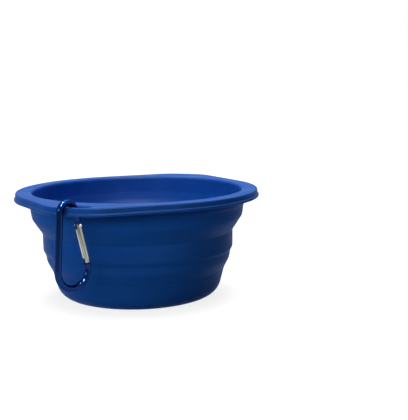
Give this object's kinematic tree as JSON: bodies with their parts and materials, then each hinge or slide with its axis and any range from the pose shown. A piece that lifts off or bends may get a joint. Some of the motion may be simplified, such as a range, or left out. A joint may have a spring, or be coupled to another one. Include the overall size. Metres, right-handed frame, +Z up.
{
  "type": "collapsible pet bowl",
  "caption": "Collapsible silicone pet bowl with a stepped folding wall, an eared rim and a spring-gate snap clip hanging in the slot of one ear.",
  "frame": {"origin": "middle of the flat base, on the surface that the bowl stands on", "axes": "+Z up along the bowl's axis; -Y towards the slotted ear with its clip; +Y towards the plain ear"},
  "size_m": [0.13, 0.1561, 0.0613],
  "materials": {
    "silicone": "satin blue silicone",
    "anodised": "glossy blue anodised",
    "bare_metal": "polished",
    "steel": "bright"
  },
  "bodies": {
    "rim": {"rim_flange": "silicone", "upper_fold": "silicone"},
    "middle": {"middle_band": "silicone", "lower_fold": "silicone"},
    "base": {"base_cup": "silicone"},
    "clip": {"clip_frame": "anodised", "latch_pin": "steel"},
    "gate": {"clip_gate": "bare_metal", "gate_hinge_rivet": "steel", "gate_spring": "steel"}
  },
  "joints": [
    {"name": "upper_collapse", "type": "slide", "parent": "rim", "child": "middle", "axis": [0, 0, 1], "range_m": [0, 0.02], "deforming": ["upper_fold"]},
    {"name": "lower_collapse", "type": "slide", "parent": "middle", "child": "base", "axis": [0, 0, 1], "range_m": [0, 0.02], "deforming": ["lower_fold"]},
    {"name": "clip_swing", "type": "hinge", "parent": "rim", "child": "clip", "pos_m": [-0.0029, -0.0734, 0.0554], "axis": [-0.9135, 0.4067, 0], "range_deg": [-13, 200]},
    {"name": "gate_hinge", "type": "hinge", "parent": "clip", "child": "gate", "pos_m": [-0.0004, -0.06779, 0.04847], "axis": [-0.9135, 0.4067, 0], "range_deg": [0, 42], "stiffness_Nm_per_rad": 0.012, "springref_deg": -51.57}
  ]
}
